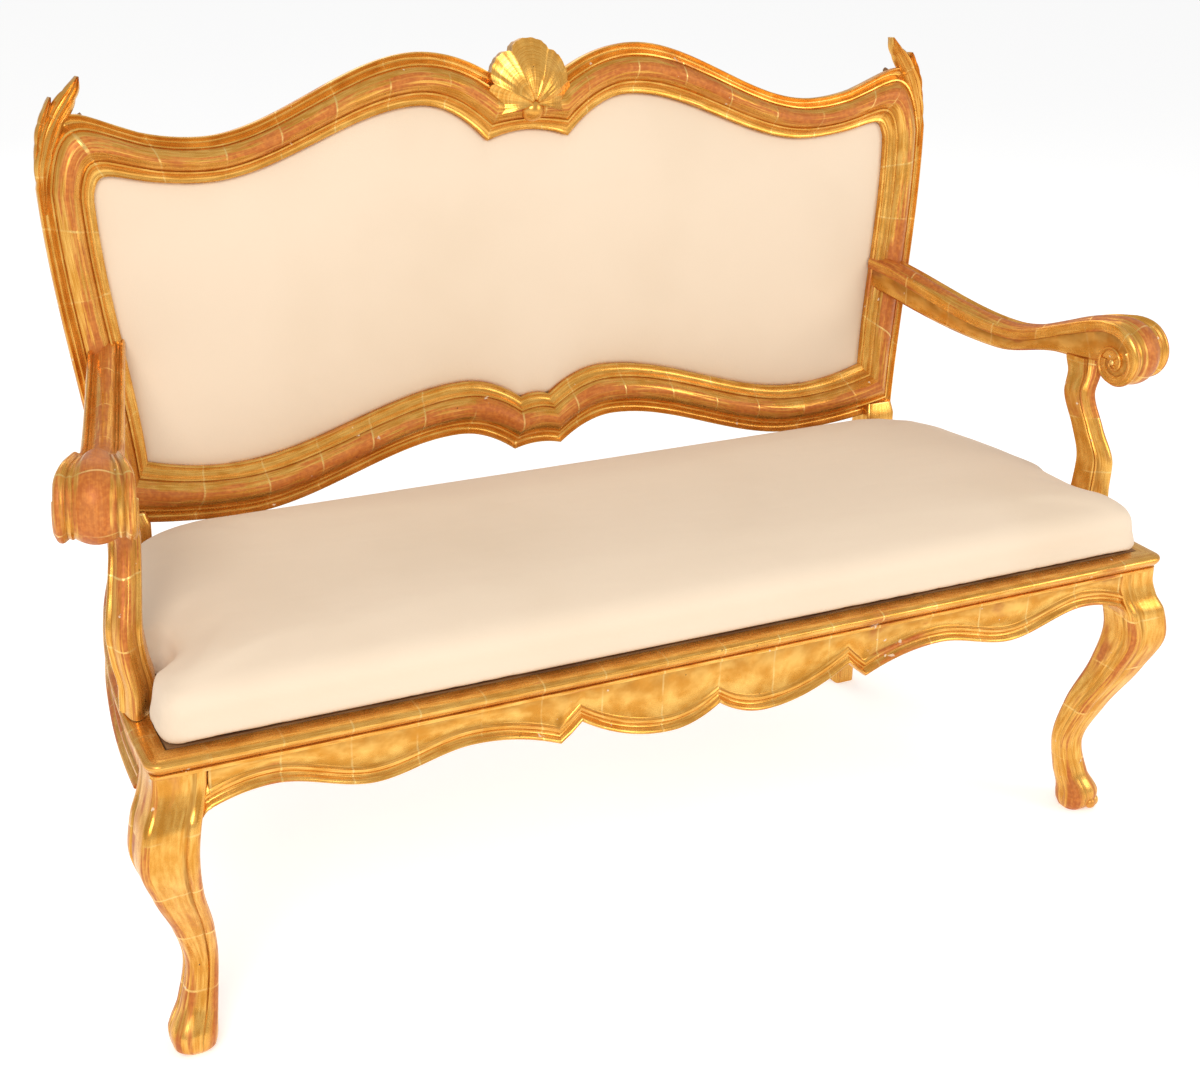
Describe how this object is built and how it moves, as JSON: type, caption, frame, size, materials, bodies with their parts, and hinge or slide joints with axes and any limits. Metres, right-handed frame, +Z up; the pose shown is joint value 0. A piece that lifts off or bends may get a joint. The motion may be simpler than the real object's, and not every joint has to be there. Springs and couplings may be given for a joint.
{
  "type": "settee",
  "caption": "Carved giltwood settee with cabriole front legs, scrolled open arms, a serpentine crest and a loose upholstered seat.",
  "frame": {"origin": "on the floor under the centre of the settee's bounding box", "axes": "+X along the seat to the right as seen from the front, front faces -Y, +Z up"},
  "size_m": [1.5418, 0.637, 1.0566],
  "materials": {
    "giltwood": "worn water gilding over red-brown bole",
    "timber": "bare softwood and poplar, oiled by age",
    "calico": "plain unbleached calico",
    "lining_cloth": "coarse hessian",
    "webbing": "woven jute strap",
    "steel": "plain steel screws"
  },
  "bodies": {
    "frame": {"arm_left": "giltwood", "arm_right": "giltwood", "arm_support_left": "giltwood", "arm_support_right": "giltwood", "arm_support_screws": "steel", "back_frame_dowels": "timber", "back_pad": "calico", "back_post_left": "giltwood", "back_post_right": "giltwood", "back_webbing": "webbing", "crest_rail": "giltwood", "ear_leaf_left": "giltwood", "ear_leaf_right": "giltwood", "front_corner_block_left": "timber", "front_corner_block_right": "timber", "front_leg_left": "giltwood", "front_leg_right": "giltwood", "front_rail": "giltwood", "lower_back_rail": "giltwood", "outside_back_cloth": "lining_cloth", "panel_frame_bottom": "timber", "panel_frame_side_left": "timber", "panel_frame_side_right": "timber", "panel_frame_top": "timber", "rear_corner_block_left": "timber", "rear_corner_block_right": "timber", "rear_rail": "timber", "shell_carving": "giltwood", "side_rail_left": "giltwood", "side_rail_right": "giltwood", "tenon_pegs": "timber"},
    "seat": {"seat_dust_cover": "lining_cloth", "seat_frame_brace_left": "timber", "seat_frame_brace_right": "timber", "seat_frame_front": "timber", "seat_frame_rear": "timber", "seat_frame_side_left": "timber", "seat_frame_side_right": "timber", "seat_hessian": "lining_cloth", "seat_pad": "calico", "seat_webbing": "webbing"}
  },
  "joints": [
    {"name": "seat_lift", "type": "slide", "parent": "frame", "child": "seat", "axis": [0, 0, 1], "range_m": [0, 0.09]}
  ]
}
